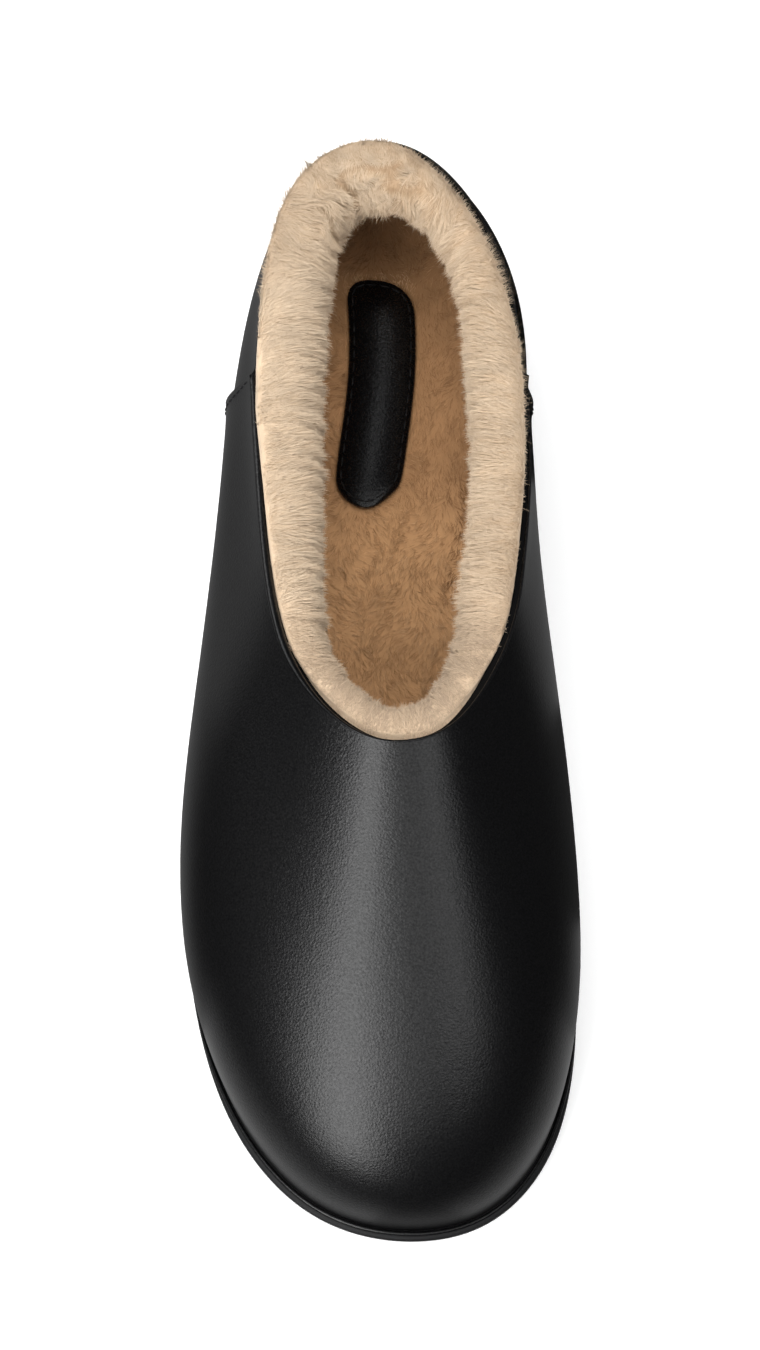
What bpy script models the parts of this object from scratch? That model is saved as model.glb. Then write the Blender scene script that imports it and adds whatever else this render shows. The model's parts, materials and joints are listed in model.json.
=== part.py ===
"""A shearling-lined leather mule with a low closed back, for the right foot.

The shoe stands on its sole with its toe towards -Y, its heel towards +Y and its inner side towards +X.
Sizes are in metres. The wall of the upper, the sole under it, the sheepskin inside it and the insole are
all worked out from one table, with a row for each section through the shoe's wall.
"""

import math
import random

import bmesh
import bpy
import numpy as np

MM = 0.001

# Driving dimensions of the shoe
LENGTH = 262 * MM
BALL_WIDTH = 96 * MM
INSTEP_HEIGHT = 82 * MM
SIDE_HEIGHT = 66.5 * MM
BACK_HEIGHT = 72 * MM
LOW_SIDE_ALONG = 0.786
THROAT_ALONG = 0.405
BACK_ALONG = 0.977
TOPLINE_FALL = 2.3
TOPLINE_RISE = 1.75

# Sole
TOE_SPRING = 8 * MM
SPRING_END = 0.23
FOREFOOT_SOLE = 13 * MM
HEEL_SOLE = 24 * MM
TOE_TOP_LIFT = 4 * MM
WEDGE_START, WEDGE_END = 0.34, 0.82
ARCH_FRONT, ARCH_BACK = 0.47, 0.71
ARCH_RISE = 4.5 * MM
LEDGE = 2.2 * MM
TOE_LEDGE = 3.6 * MM
TOE_LEDGE_END = 0.26
SEAT_GAP = 0.3 * MM

# Upper
WALL = 2.0 * MM
VAMP_LAP = 1.1 * MM
LAP_BEAD = 0.5 * MM
LAP_RAMP = 1.0 * MM
LAP_BEAD_END = 5.0 * MM
COLUMNS_PER_SIDE = 48
WALL_ROWS = 10

# Sheepskin
LINING_ROWS = 7
LOCKS_PER_SIDE = 24
LOCK_DEPTH = 1.1 * MM
LOCK_SEED = 11

# Insole and the leather pad on its heel
INSOLE_THICKNESS = 5.0 * MM
INSOLE_CLEARANCE = 1.1 * MM
HEEL_CUP = 3.0 * MM
HEEL_CUP_START = 0.62
PAD_LENGTH, PAD_WIDTH = 57.6 * MM, 16.5 * MM
PAD_THICKNESS, PAD_CROWN = 1.4 * MM, 1.6 * MM
PAD_ALONG, PAD_SIDE = 0.787, -0.012
PAD_TURN = math.radians(-3)
PAD_BOW_IN, PAD_BOW_OUT = 1.4 * MM, 0.6 * MM
PAD_BOW_PEAK, PAD_BOW_REACH = 0.2, 1.15
# How far each corner of the pad stands out past a round end, as a share of its radius, or below 0 falls short.
PAD_CORNERS = {"back_out": 0.24, "back_in": 0.03, "front_out": 0.0, "front_in": -0.12}

# A row for each section through the wall, from the toe round the outer side to the heel and back inside.
# Side places are shares of the ball width, and along places are shares of the length. The rest are sizes:
# swell and shoulder shape the foot of the wall, reach and drop its top, and pile the sheepskin's edge.
SECTION_COLUMNS = (
    "edge_side", "edge_along", "collar_side", "collar_along",
    "swell", "shoulder", "reach", "drop", "pile", "pile_over",
)
WALL_SECTIONS = {
    "toe":              (0.079, 0.002, 0.047, 0.403, 1, 32, 72, 30, 11.0, 0.5),
    "toe_front_out":    (-0.145, 0.022, -0.038, 0.410, 1, 32, 66, 28, 11.0, 0.5),
    "toe_corner_out":   (-0.323, 0.084, -0.120, 0.433, 3, 33, 54, 25, 11.5, 0.5),
    "toe_side_out":     (-0.439, 0.183, -0.190, 0.467, 7, 32, 40, 21, 12.5, 0.6),
    "ball_out":         (-0.486, 0.344, -0.243, 0.516, 9, 30, 22, 15, 13.5, 0.8),
    "waist_out":        (-0.442, 0.508, -0.276, 0.592, 9, 24, 9, 15, 15.0, 1.0),
    "arch_out":         (-0.395, 0.656, -0.296, 0.687, 8, 20, 3, 16, 15.5, 1.4),
    "seam_out":         (-0.358, 0.768, -0.305, 0.762, 8, 18, 3, 16, 15.0, 2.4),
    "heel_side_out":    (-0.294, 0.905, -0.264, 0.878, 6, 16, 3, 16, 13.5, 4.2),
    "heel_corner_out":  (-0.186, 0.975, -0.168, 0.948, 6, 16, 3, 16, 13.0, 4.8),
    "heel":             (0.005, 1.000, 0.010, 0.977, 7, 16, 3, 16, 15.5, 2.4),
    "heel_corner_in":   (0.200, 0.975, 0.182, 0.943, 6, 16, 3, 16, 12.5, 0.3),
    "heel_side_in":     (0.320, 0.905, 0.300, 0.872, 6, 16, 3, 16, 13.0, 0.2),
    "seam_in":          (0.356, 0.768, 0.351, 0.762, 8, 18, 3, 16, 13.5, 0.3),
    "arch_in":          (0.367, 0.656, 0.360, 0.687, 7, 20, 3, 16, 13.5, 0.4),
    "waist_in":         (0.414, 0.508, 0.346, 0.595, 8, 24, 8, 15, 13.5, 0.5),
    "ball_in":          (0.483, 0.298, 0.310, 0.511, 8, 30, 22, 15, 12.5, 0.5),
    "toe_side_in":      (0.483, 0.168, 0.258, 0.464, 6, 32, 40, 21, 11.5, 0.5),
    "toe_corner_in":    (0.404, 0.070, 0.192, 0.427, 3, 33, 54, 25, 11.0, 0.5),
    "toe_front_in":     (0.255, 0.016, 0.126, 0.409, 1, 32, 66, 28, 11.0, 0.5),
}
SIZE_COLUMNS = ("swell", "shoulder", "reach", "drop", "pile", "pile_over")

# The sole's side from the floor up: how far each level lies inside the edge, and its share of the height.
SOLE_SIDE_COLUMNS = ("inset", "share")
SOLE_SIDE = (
    (3.4, 0.00),
    (1.7, 0.09),
    (1.0, 0.30),
    (0.9, 0.60),
    (1.3, 0.65),
    (0.1, 0.71),
    (0.0, 0.90),
    (0.7, 1.00),
)
SOLE_STRIPS = 6

# The sheepskin's rolled edge above the leather: how far each level lies inside the wall and above its top.
# A negative share is of the overhang past the wall, a positive one of the pile's depth.
ROLL_COLUMNS = ("share_in", "above")
ROLL = (
    (0.00, 0.7),
    (-0.70, 1.2),
    (-1.00, 3.2),
    (0.08, 6.0),
    (0.42, 7.4),
    (0.80, 5.0),
)
# The pile's depth below the topline, as a share of its full depth, from the topline down.
PILE_DEPTH = (1.00, 0.99, 0.92, 0.80, 0.66, 0.54, 0.46, 0.34)


def smoothstep(low, high, value):
    share = np.clip((value - low) / (high - low), 0, 1)
    return share * share * (3 - 2 * share)


def closed_spline(knots, values):
    """A cubic through the values that comes round to its start, by the place on a loop of length 1."""
    count = len(knots)
    steps = np.diff(np.append(knots, 1.0))
    slopes = (np.roll(values, -1, axis=0) - values) / steps[:, None]
    matrix = np.zeros((count, count))
    right = np.zeros_like(values)
    for i in range(count):
        before, after = steps[i - 1], steps[i]
        matrix[i, i - 1] += after
        matrix[i, i] += 2 * (before + after)
        matrix[i, (i + 1) % count] += before
        right[i] = 3 * (after * slopes[i - 1] + before * slopes[i])
    tangents = np.linalg.solve(matrix, right)

    def at(places):
        places = np.asarray(places, float) % 1.0
        i = np.clip(np.searchsorted(knots, places, side="right") - 1, 0, count - 1)
        j = (i + 1) % count
        width = steps[i][:, None]
        s = (places[:, None] - knots[i][:, None]) / width
        return (
            (2 * s**3 - 3 * s**2 + 1) * values[i]
            + (s**3 - 2 * s**2 + s) * width * tangents[i]
            + (3 * s**2 - 2 * s**3) * values[j]
            + (s**3 - s**2) * width * tangents[j]
        )

    return at


def section_loop():
    """The spline through all rows of the table, in metres, and the place of each row on the loop."""
    rows = np.array(list(WALL_SECTIONS.values()), float)
    for k, column in enumerate(SECTION_COLUMNS):
        if column.endswith("_side"):
            rows[:, k] *= BALL_WIDTH
        elif column.endswith("_along"):
            rows[:, k] = (rows[:, k] - 0.5) * LENGTH
        elif column in SIZE_COLUMNS:
            rows[:, k] *= MM
    edge = rows[:, :2]
    strides = np.linalg.norm(np.roll(edge, -1, axis=0) - edge, axis=1)
    knots = np.concatenate([[0.0], np.cumsum(strides)[:-1]]) / strides.sum()
    places = dict(zip(WALL_SECTIONS, knots))
    return closed_spline(knots, rows), places, strides.sum()


SECTIONS, PLACES, GIRTH = section_loop()


def columns_at(places):
    """The table's columns at places on the loop, by name."""
    return dict(zip(SECTION_COLUMNS, SECTIONS(places).T))


def along_of(y):
    return y / LENGTH + 0.5


def sole_bottom(y):
    along = along_of(y)
    spring = TOE_SPRING * np.clip(1 - along / SPRING_END, 0, None) ** 2
    arch = np.clip((along - ARCH_FRONT) / (ARCH_BACK - ARCH_FRONT), 0, 1)
    return spring + ARCH_RISE * np.sin(math.pi * arch) ** 2


def sole_top(y):
    along = along_of(y)
    lift = TOE_TOP_LIFT * np.clip(1 - along / SPRING_END, 0, None) ** 2
    return FOREFOOT_SOLE + lift + (HEEL_SOLE - FOREFOOT_SOLE) * smoothstep(WEDGE_START, WEDGE_END, along)


def ledge_width(y):
    """How far the sole stands out past the foot of the upper, more round the toe than at the sides."""
    return LEDGE + (TOE_LEDGE - LEDGE) * (1 - smoothstep(0.06, TOE_LEDGE_END, along_of(y)))


def topline_height(y):
    along = along_of(y)
    front = np.clip((LOW_SIDE_ALONG - along) / (LOW_SIDE_ALONG - THROAT_ALONG), 0, None) ** TOPLINE_FALL
    back = np.clip((along - LOW_SIDE_ALONG) / (BACK_ALONG - LOW_SIDE_ALONG), 0, None) ** TOPLINE_RISE
    return SIDE_HEIGHT + (INSTEP_HEIGHT - SIDE_HEIGHT) * front + (BACK_HEIGHT - SIDE_HEIGHT) * back


def edge_frame(places):
    """Points on the sole's edge and the directions that point out of it, seen from above."""
    step = 1e-4
    here = SECTIONS(places)[:, :2]
    tangent = SECTIONS(np.asarray(places) + step)[:, :2] - SECTIONS(np.asarray(places) - step)[:, :2]
    outward = np.stack([-tangent[:, 1], tangent[:, 0]], axis=1)
    return here, outward / np.linalg.norm(outward, axis=1)[:, None]


def wall_points(places, level):
    """Points on the upper's wall, from level 0 at the sole to level 1 at the topline."""
    column = columns_at(places)
    edge, outward = edge_frame(places)
    foot = edge - outward * ledge_width(edge[:, 1])[:, None]
    collar = np.stack([column["collar_side"], column["collar_along"]], axis=1)
    fan = foot - collar
    fan /= np.linalg.norm(fan, axis=1)[:, None]
    foot_z = sole_top(foot[:, 1]) + SEAT_GAP
    collar_z = topline_height(collar[:, 1])
    belly = foot + outward * column["swell"][:, None]
    crown = collar + fan * column["reach"][:, None]
    corners = (
        np.column_stack([foot, foot_z]),
        np.column_stack([belly, foot_z + column["shoulder"]]),
        np.column_stack([crown, collar_z - column["drop"]]),
        np.column_stack([collar, collar_z]),
    )
    rest = 1 - level
    weights = (rest**3, 3 * rest**2 * level, 3 * rest * level**2, level**3)
    return sum(w * corner for w, corner in zip(weights, corners))


def wall_frame(places, level):
    """Points on the wall, the directions out of it, and the directions up along it."""
    step = 1e-3
    places = np.asarray(places)
    low, high = max(level - step, 0.0), min(level + step, 1.0)
    up = wall_points(places, high) - wall_points(places, low)
    along = wall_points(places + step, level) - wall_points(places - step, level)
    outward = np.cross(up, along)
    outward /= np.linalg.norm(outward, axis=1)[:, None]
    return wall_points(places, level), outward, up / np.linalg.norm(up, axis=1)[:, None]


def lap_height(places):
    """How far the vamp stands proud of the back piece that it laps, with a bead along its folded edge."""
    height = np.zeros(len(places))
    middle = PLACES["heel"]
    for i, place in enumerate(places):
        seam = PLACES["seam_out"] if place < middle else PLACES["seam_in"]
        ahead = (seam - place if place < middle else place - seam) * GIRTH
        bead = LAP_BEAD * (1 - smoothstep(LAP_RAMP, LAP_BEAD_END, ahead))
        height[i] = (VAMP_LAP + bead) * smoothstep(0, LAP_RAMP, ahead)
    return height


def even_places(per_side):
    heel = PLACES["heel"]
    outer = np.linspace(0, heel, per_side, endpoint=False)
    inner = np.linspace(heel, 1, per_side, endpoint=False)
    return np.concatenate([outer, inner])


def wall_places():
    """Even places round the wall, with the steps of the two lapped seams set into them."""
    places = list(even_places(COLUMNS_PER_SIDE))
    spacing = 0.45 / COLUMNS_PER_SIDE
    for seam, ahead in ((PLACES["seam_out"], -1), (PLACES["seam_in"], 1)):
        steps = [seam, seam + ahead * LAP_RAMP / GIRTH, seam + ahead * LAP_BEAD_END / GIRTH]
        places = [p for p in places if min(abs(p - s) for s in steps) > spacing / 2]
        places += steps
    return np.array(sorted(places))


def add_rings(bm, rings):
    return [[bm.verts.new(point) for point in ring] for ring in rings]


def skin(bm, rings, closed=False):
    """Faces between each ring and the next, and from the last to the first on a closed tube."""
    pairs = list(zip(rings, rings[1:]))
    if closed:
        pairs.append((rings[-1], rings[0]))
    for low, high in pairs:
        count = len(low)
        for i in range(count):
            j = (i + 1) % count
            bm.faces.new((low[i], high[i], high[j], low[j]))


def cover(bm, ring, height_at, strips, up):
    """A sheet across a ring, in strips from its outer to its inner side, with toe and heel as its ends."""
    count = len(ring)
    half = count // 2
    rows = []
    for i in range(1, half):
        outer, inner = ring[i], ring[count - i]
        row = [outer]
        for k in range(1, strips):
            point = outer.co.lerp(inner.co, k / strips)
            point.z = height_at(point.x, point.y)
            row.append(bm.verts.new(point))
        rows.append(row + [inner])
    faces = []
    for row, after in zip(rows, rows[1:]):
        faces += [(row[k], row[k + 1], after[k + 1], after[k]) for k in range(strips)]
    for tip, row, turn in ((ring[0], rows[0], 1), (ring[half], rows[-1], -1)):
        faces += [(tip, row[k + 1], row[k])[::turn] for k in range(strips)]
    for face in faces:
        bm.faces.new(face if up else face[::-1])


def finish_object(name, bm, colour, roughness, sharp_angle=50):
    bmesh.ops.recalc_face_normals(bm, faces=bm.faces)
    mesh = bpy.data.meshes.new(name)
    bm.to_mesh(mesh)
    bm.free()
    mesh.shade_smooth()
    mesh.set_sharp_from_angle(angle=math.radians(sharp_angle))
    material = bpy.data.materials.new(name)
    material.use_nodes = True
    shader = material.node_tree.nodes["Principled BSDF"]
    shader.inputs["Base Color"].default_value = (*colour, 1)
    shader.inputs["Roughness"].default_value = roughness
    shader.inputs["Metallic"].default_value = 0
    mesh.materials.append(material)
    made = bpy.data.objects.new(name, mesh)
    bpy.context.collection.objects.link(made)
    return made


def make_outsole():
    """The moulded rubber sole: toe spring, arch and heel, and a lip round its side with a groove below it."""
    places = even_places(COLUMNS_PER_SIDE - 8)
    edge, outward = edge_frame(places)
    rings = []
    for inset, share in SOLE_SIDE:
        line = edge - outward * inset * MM
        low, high = sole_bottom(line[:, 1]), sole_top(line[:, 1])
        rings.append(np.column_stack([line, low + share * (high - low)]))
    bm = bmesh.new()
    rings = add_rings(bm, rings)
    skin(bm, rings)
    cover(bm, rings[0], lambda x, y: float(sole_bottom(y)), SOLE_STRIPS, up=False)
    cover(bm, rings[-1], lambda x, y: float(sole_top(y)), SOLE_STRIPS, up=True)
    return finish_object("outsole", bm, (0.012, 0.012, 0.013), 0.55)


def make_upper():
    """The leather upper, one hollow wall, open at the collar and underneath, its vamp lapped over the back."""
    places = wall_places()
    lap = lap_height(places)[:, None]
    outer, inner = [], []
    for row in range(WALL_ROWS + 1):
        point, outward, _ = wall_frame(places, row / WALL_ROWS)
        outer.append(point + outward * lap)
        inner.append(point - outward * WALL)
    for foot in (outer[0], inner[0]):
        foot[:, 2] = sole_top(foot[:, 1]) + SEAT_GAP
    bm = bmesh.new()
    rings = add_rings(bm, outer + inner[::-1])
    skin(bm, rings, closed=True)
    return finish_object("upper", bm, (0.014, 0.014, 0.015), 0.45)


def lock_depths(places):
    """The pile's surface in locks round the collar, each with its own depth, to add to the pile."""
    draw = random.Random(LOCK_SEED)
    crests = [draw.uniform(0.55, 1.0) for _ in range(2 * LOCKS_PER_SIDE)]
    middle = PLACES["heel"]
    depths = np.zeros(len(places))
    for i, place in enumerate(places):
        if place < middle:
            turn = place / middle * LOCKS_PER_SIDE
        else:
            turn = LOCKS_PER_SIDE * (1 + (place - middle) / (1 - middle))
        crest = crests[int(turn) % len(crests)]
        depths[i] = LOCK_DEPTH * crest * (1 - abs(2 * (turn % 1) - 1))
    return depths


def make_shearling_lining():
    """The sheepskin inside the upper, with its deep pile rolled over the topline in locks."""
    places = wall_places()
    column = columns_at(places)
    pile, over = column["pile"][:, None], column["pile_over"][:, None]
    locks = lock_depths(places)[:, None]
    skin_side, pile_side = [], []
    for row in range(LINING_ROWS + 1):
        point, outward, _ = wall_frame(places, 1 - row / WALL_ROWS)
        back = point - outward * (WALL + SEAT_GAP)
        skin_side.append(back)
        pile_side.append(back - outward * (pile * PILE_DEPTH[row] + locks - LOCK_DEPTH / 2))
    point, outward, up = wall_frame(places, 1.0)
    edge = point - outward * (WALL + SEAT_GAP)
    roll = []
    for share_in, above in ROLL:
        inward = over * share_in if share_in < 0 else pile * share_in
        swell = locks * min(1.0, above / ROLL[-1][1])
        roll.append(edge - outward * inward + up * (above * MM + swell))
    bm = bmesh.new()
    rings = add_rings(bm, skin_side[::-1] + roll + pile_side)
    skin(bm, rings, closed=True)
    return finish_object("shearling_lining", bm, (0.68, 0.50, 0.34), 0.95, sharp_angle=80)


def insole_height(x, y):
    """The insole's top surface: level under the forefoot, dished under the heel."""
    cup = smoothstep(HEEL_CUP_START, 1.0, along_of(y)) * HEEL_CUP
    across = np.clip(abs(x) / (0.36 * BALL_WIDTH), 0, 1) ** 2
    return sole_top(y) + SEAT_GAP + INSOLE_THICKNESS + cup * (across - 0.5)


def make_insole():
    """The sheepskin-covered insole, which lies on the sole inside the upper's wall."""
    places = even_places(COLUMNS_PER_SIDE // 2 + 4)
    edge, outward = edge_frame(places)
    line = edge - outward * (ledge_width(edge[:, 1])[:, None] + WALL + INSOLE_CLEARANCE)
    under = np.column_stack([line, sole_top(line[:, 1]) + SEAT_GAP])
    top_line = line - outward * INSOLE_CLEARANCE
    top = np.column_stack([top_line, insole_height(top_line[:, 0], top_line[:, 1])])
    side = np.column_stack([line, (under[:, 2] + 2 * top[:, 2]) / 3])
    bm = bmesh.new()
    rings = add_rings(bm, [under, side, top])
    skin(bm, rings)
    cover(bm, rings[0], lambda x, y: float(sole_top(y)) + SEAT_GAP, SOLE_STRIPS, up=False)
    cover(bm, rings[-1], lambda x, y: float(insole_height(x, y)), SOLE_STRIPS, up=True)
    return finish_object("insole", bm, (0.52, 0.36, 0.22), 0.95)


def pad_bow(y):
    """How far the pad is bowed towards the inner side, at a place along it from its middle."""
    turn = math.pi * (y / (PAD_LENGTH / 2) - PAD_BOW_PEAK) / PAD_BOW_REACH
    return (PAD_BOW_IN - PAD_BOW_OUT) / 2 + (PAD_BOW_IN + PAD_BOW_OUT) / 2 * math.cos(turn)


def make_heel_pad():
    """The padded leather pad on the insole's heel, a bowed strip with round ends that follows the dish."""
    ends, strips = 10, 6
    radius = PAD_WIDTH / 2
    straight = PAD_LENGTH / 2 - radius
    half = [(radius * math.sin(a), -straight - radius * math.cos(a))
            for a in (math.pi / 2 * k / (ends // 2) for k in range(ends // 2 + 1))]
    half += [(radius, -straight + 2 * straight * k / 5) for k in range(1, 5)]
    half += [(x, -y) for x, y in half[ends // 2::-1]]
    outline = [(-x, y) for x, y in half] + half[-2:0:-1]
    centre = (PAD_SIDE * BALL_WIDTH, (PAD_ALONG - 0.5) * LENGTH)

    def placed(x, y):
        past = max(abs(y) - straight, 0)
        corner = PAD_CORNERS[("back" if y > 0 else "front") + ("_in" if x > 0 else "_out")]
        stretch = 1 + corner * math.sin(2 * math.atan2(x, past)) ** 2
        y = math.copysign(min(abs(y), straight) + past * stretch, y)
        x = x * stretch + pad_bow(y)
        return (
            centre[0] + x * math.cos(PAD_TURN) - y * math.sin(PAD_TURN),
            centre[1] + x * math.sin(PAD_TURN) + y * math.cos(PAD_TURN),
        )

    def pad_base(x, y):
        return float(insole_height(x, y)) + SEAT_GAP

    def pad_top(x, y):
        dx, dy = x - centre[0], y - centre[1]
        across = dx * math.cos(PAD_TURN) + dy * math.sin(PAD_TURN) - pad_bow(dy)
        reach = max(abs(dy) - straight, 0)
        crown = max(1 - (across**2 + reach**2) / radius**2, 0)
        return pad_base(x, y) + PAD_THICKNESS + PAD_CROWN * crown

    line = [placed(x, y) for x, y in outline]
    bm = bmesh.new()
    rings = add_rings(bm, [
        [(x, y, pad_base(x, y)) for x, y in line],
        [(x, y, pad_top(x, y)) for x, y in line],
    ])
    skin(bm, rings)
    cover(bm, rings[0], pad_base, strips, up=False)
    cover(bm, rings[-1], pad_top, strips, up=True)
    return finish_object("heel_pad", bm, (0.012, 0.012, 0.013), 0.5)


def stand_on_origin(pieces):
    """Parents the pieces to one empty that brings the middle of the shoe's footprint to the origin."""
    corners = np.array([v.co for piece in pieces for v in piece.data.vertices])
    low, high = corners.min(axis=0), corners.max(axis=0)
    shoe = bpy.data.objects.new("shoe", None)
    bpy.context.collection.objects.link(shoe)
    shoe.location = (-(low[0] + high[0]) / 2, -(low[1] + high[1]) / 2, -low[2])
    for piece in pieces:
        piece.parent = shoe


def main():
    for old in list(bpy.data.objects):
        bpy.data.objects.remove(old)
    stand_on_origin([
        make_outsole(),
        make_insole(),
        make_heel_pad(),
        make_upper(),
        make_shearling_lining(),
    ])


main()
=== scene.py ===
import json
import math

import bpy
import numpy as np
from mathutils import Matrix, Quaternion, Vector
from mathutils.bvhtree import BVHTree

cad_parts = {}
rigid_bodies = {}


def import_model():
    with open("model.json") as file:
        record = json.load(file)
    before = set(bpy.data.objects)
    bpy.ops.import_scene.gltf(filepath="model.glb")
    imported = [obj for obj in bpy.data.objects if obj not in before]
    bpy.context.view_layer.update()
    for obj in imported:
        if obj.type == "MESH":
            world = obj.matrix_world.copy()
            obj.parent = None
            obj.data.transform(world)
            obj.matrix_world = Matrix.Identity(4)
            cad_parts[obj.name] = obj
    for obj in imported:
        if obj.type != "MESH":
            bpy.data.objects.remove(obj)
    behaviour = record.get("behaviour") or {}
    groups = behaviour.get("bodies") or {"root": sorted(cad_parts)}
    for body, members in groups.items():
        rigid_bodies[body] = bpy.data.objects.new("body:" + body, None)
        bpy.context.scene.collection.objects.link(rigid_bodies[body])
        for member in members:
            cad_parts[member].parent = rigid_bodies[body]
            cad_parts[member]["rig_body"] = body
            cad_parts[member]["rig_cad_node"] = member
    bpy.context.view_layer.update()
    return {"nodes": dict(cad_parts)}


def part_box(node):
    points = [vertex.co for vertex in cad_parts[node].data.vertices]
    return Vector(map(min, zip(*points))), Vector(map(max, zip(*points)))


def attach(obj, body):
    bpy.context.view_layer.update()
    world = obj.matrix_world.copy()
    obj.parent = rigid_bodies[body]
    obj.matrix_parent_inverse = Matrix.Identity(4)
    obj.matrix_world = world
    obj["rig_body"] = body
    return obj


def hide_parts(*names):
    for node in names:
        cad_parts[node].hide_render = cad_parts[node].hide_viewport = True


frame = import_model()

nodes = frame["nodes"]
scene = bpy.context.scene


# The camera stands above the toe and looks down into the shoe, 15 degrees off the vertical.
# The framing is meant for a frame of 760 by 1350, and the shoe fills most of its height.
view_tilt = math.radians(15)
view_reach = 1.40
view_height = 0.322
film_height = 36
view_aim = Vector((0.0, 0.0022, 0.036))
view_back = Vector((0, -math.sin(view_tilt), math.cos(view_tilt)))
bpy.ops.object.camera_add(location=view_aim + view_back * view_reach, rotation=(view_tilt, 0, 0))
camera = bpy.context.object
camera.data.sensor_fit = "VERTICAL"
camera.data.sensor_height = film_height
camera.data.lens = film_height * view_reach / view_height
camera.data.clip_start = 0.05
scene.camera = camera


# Outsole: one moulding of black rubber, cemented under the lasted upper.
# Its side has a rounded lip with a groove below it.
# Shallow wavy grooves cross its tread at forefoot and heel.
def pick(*pieces):
    """Leaves only these pieces selected, with the first one active."""
    bpy.ops.object.select_all(action="DESELECT")
    for piece in pieces:
        piece.select_set(True)
    bpy.context.view_layer.objects.active = pieces[0]


def copy_of(node, name):
    """A merged copy of a CAD node's mesh, in quads where its triangles pair up."""
    piece = nodes[node].copy()
    piece.data = nodes[node].data.copy()
    piece.name = piece.data.name = name
    piece.parent = None
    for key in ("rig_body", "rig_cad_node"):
        if key in piece:
            del piece[key]
    scene.collection.objects.link(piece)
    pick(piece)
    bpy.ops.object.mode_set(mode="EDIT")
    bpy.ops.mesh.select_all(action="SELECT")
    bpy.ops.mesh.remove_doubles(threshold=0.00001)
    bpy.ops.mesh.tris_convert_to_quads(face_threshold=math.radians(60), shape_threshold=math.radians(60))
    bpy.ops.mesh.customdata_custom_splitnormals_clear()
    bpy.ops.mesh.mark_sharp(clear=True)
    bpy.ops.object.mode_set(mode="OBJECT")
    bpy.ops.object.shade_smooth()
    piece.data.materials.clear()
    return piece


def apply_last(piece):
    """Applies the piece's last modifier, and leaves the piece active."""
    pick(piece)
    bpy.ops.object.modifier_apply(modifier=piece.modifiers[-1].name)


def smoothed(piece, levels):
    """Subdivides the piece smoothly, and leaves it active."""
    pick(piece)
    bpy.ops.object.modifier_add(type="SUBSURF")
    piece.modifiers[-1].levels = levels
    piece.modifiers[-1].render_levels = levels
    apply_last(piece)
    bpy.ops.object.shade_smooth()


def points_of(piece):
    return np.array([v.co for v in piece.data.vertices])


def surface_of(piece):
    """A tree of the piece's faces, for casting rays at them."""
    corners = [v.co for v in piece.data.vertices]
    return BVHTree.FromPolygons(corners, [p.vertices for p in piece.data.polygons])


def new_finish(name):
    """A material with its node tree, shader and Object coordinates."""
    finish = bpy.data.materials.new(name)
    finish.use_nodes = True
    tree = finish.node_tree
    place = tree.nodes.new("ShaderNodeTexCoord").outputs["Object"]
    return finish, tree, tree.nodes["Principled BSDF"], place


rubber, tree, shader, place = new_finish("moulded_rubber")
shader.inputs["Base Color"].default_value = (0.007, 0.007, 0.0075, 1)
shader.inputs["Specular IOR Level"].default_value = 0.3
speckle = tree.nodes.new("ShaderNodeTexNoise")
speckle.inputs["Scale"].default_value = 900
speckle.inputs["Detail"].default_value = 3
tree.links.new(place, speckle.inputs["Vector"])
dull = tree.nodes.new("ShaderNodeMapRange")
dull.inputs["To Min"].default_value = 0.55
dull.inputs["To Max"].default_value = 0.70
tree.links.new(speckle.outputs["Fac"], dull.inputs["Value"])
tree.links.new(dull.outputs["Result"], shader.inputs["Roughness"])
bump = tree.nodes.new("ShaderNodeBump")
bump.inputs["Strength"].default_value = 0.25
bump.inputs["Distance"].default_value = 0.0001
tree.links.new(speckle.outputs["Fac"], bump.inputs["Height"])
tree.links.new(bump.outputs["Normal"], shader.inputs["Normal"])

outsole = copy_of("outsole", "moulded_outsole")
smoothed(outsole, levels=2)

groove_width, groove_depth = 0.0024, 0.0012
groove_wave, groove_wavelength = 0.0016, 0.015
groove_margin, groove_pitch = 0.011, 0.0075
groove_zones = ((-0.104, -0.012), (0.066, 0.116))
cutter_steps, cutter_height = 40, 0.004
edge_reach, below_tread = 0.004, -0.01
sole_points = points_of(outsole)
sole_tree = surface_of(outsole)
grooves = []
for first, last in groove_zones:
    for y in np.arange(first, last, groove_pitch):
        beside = sole_points[np.abs(sole_points[:, 1] - y) < edge_reach]
        left, right = beside[:, 0].min() + groove_margin, beside[:, 0].max() - groove_margin
        start = Vector(((left + right) / 2, y, below_tread))
        floor_z = sole_tree.ray_cast(start, Vector((0, 0, 1)))[0].z
        bpy.ops.mesh.primitive_grid_add(x_subdivisions=cutter_steps, y_subdivisions=1, size=1)
        groove = bpy.context.object
        spots = points_of(groove)
        across = (left + right) / 2 + spots[:, 0] * (right - left)
        wave = groove_wave * np.sin(2 * math.pi * across / groove_wavelength)
        shaped = np.column_stack([across, y + wave + spots[:, 1] * groove_width,
                                  np.full(len(spots), floor_z + groove_depth)])
        groove.data.vertices.foreach_set("co", shaped.ravel())
        bpy.ops.object.modifier_add(type="SOLIDIFY")
        groove.modifiers[-1].thickness = cutter_height
        groove.modifiers[-1].offset = -1
        apply_last(groove)
        grooves.append(groove)
pick(*grooves)
bpy.ops.object.join()
groove_cutter = bpy.context.object
pick(outsole)
bpy.ops.object.modifier_add(type="BOOLEAN")
outsole.modifiers[-1].operation = "DIFFERENCE"
outsole.modifiers[-1].object = groove_cutter
apply_last(outsole)
bpy.data.objects.remove(groove_cutter)
pick(outsole)
bpy.ops.object.shade_smooth_by_angle(angle=math.radians(40))
outsole.data.materials.clear()
outsole.data.materials.append(rubber)
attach(outsole, "root")
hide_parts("outsole")


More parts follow.
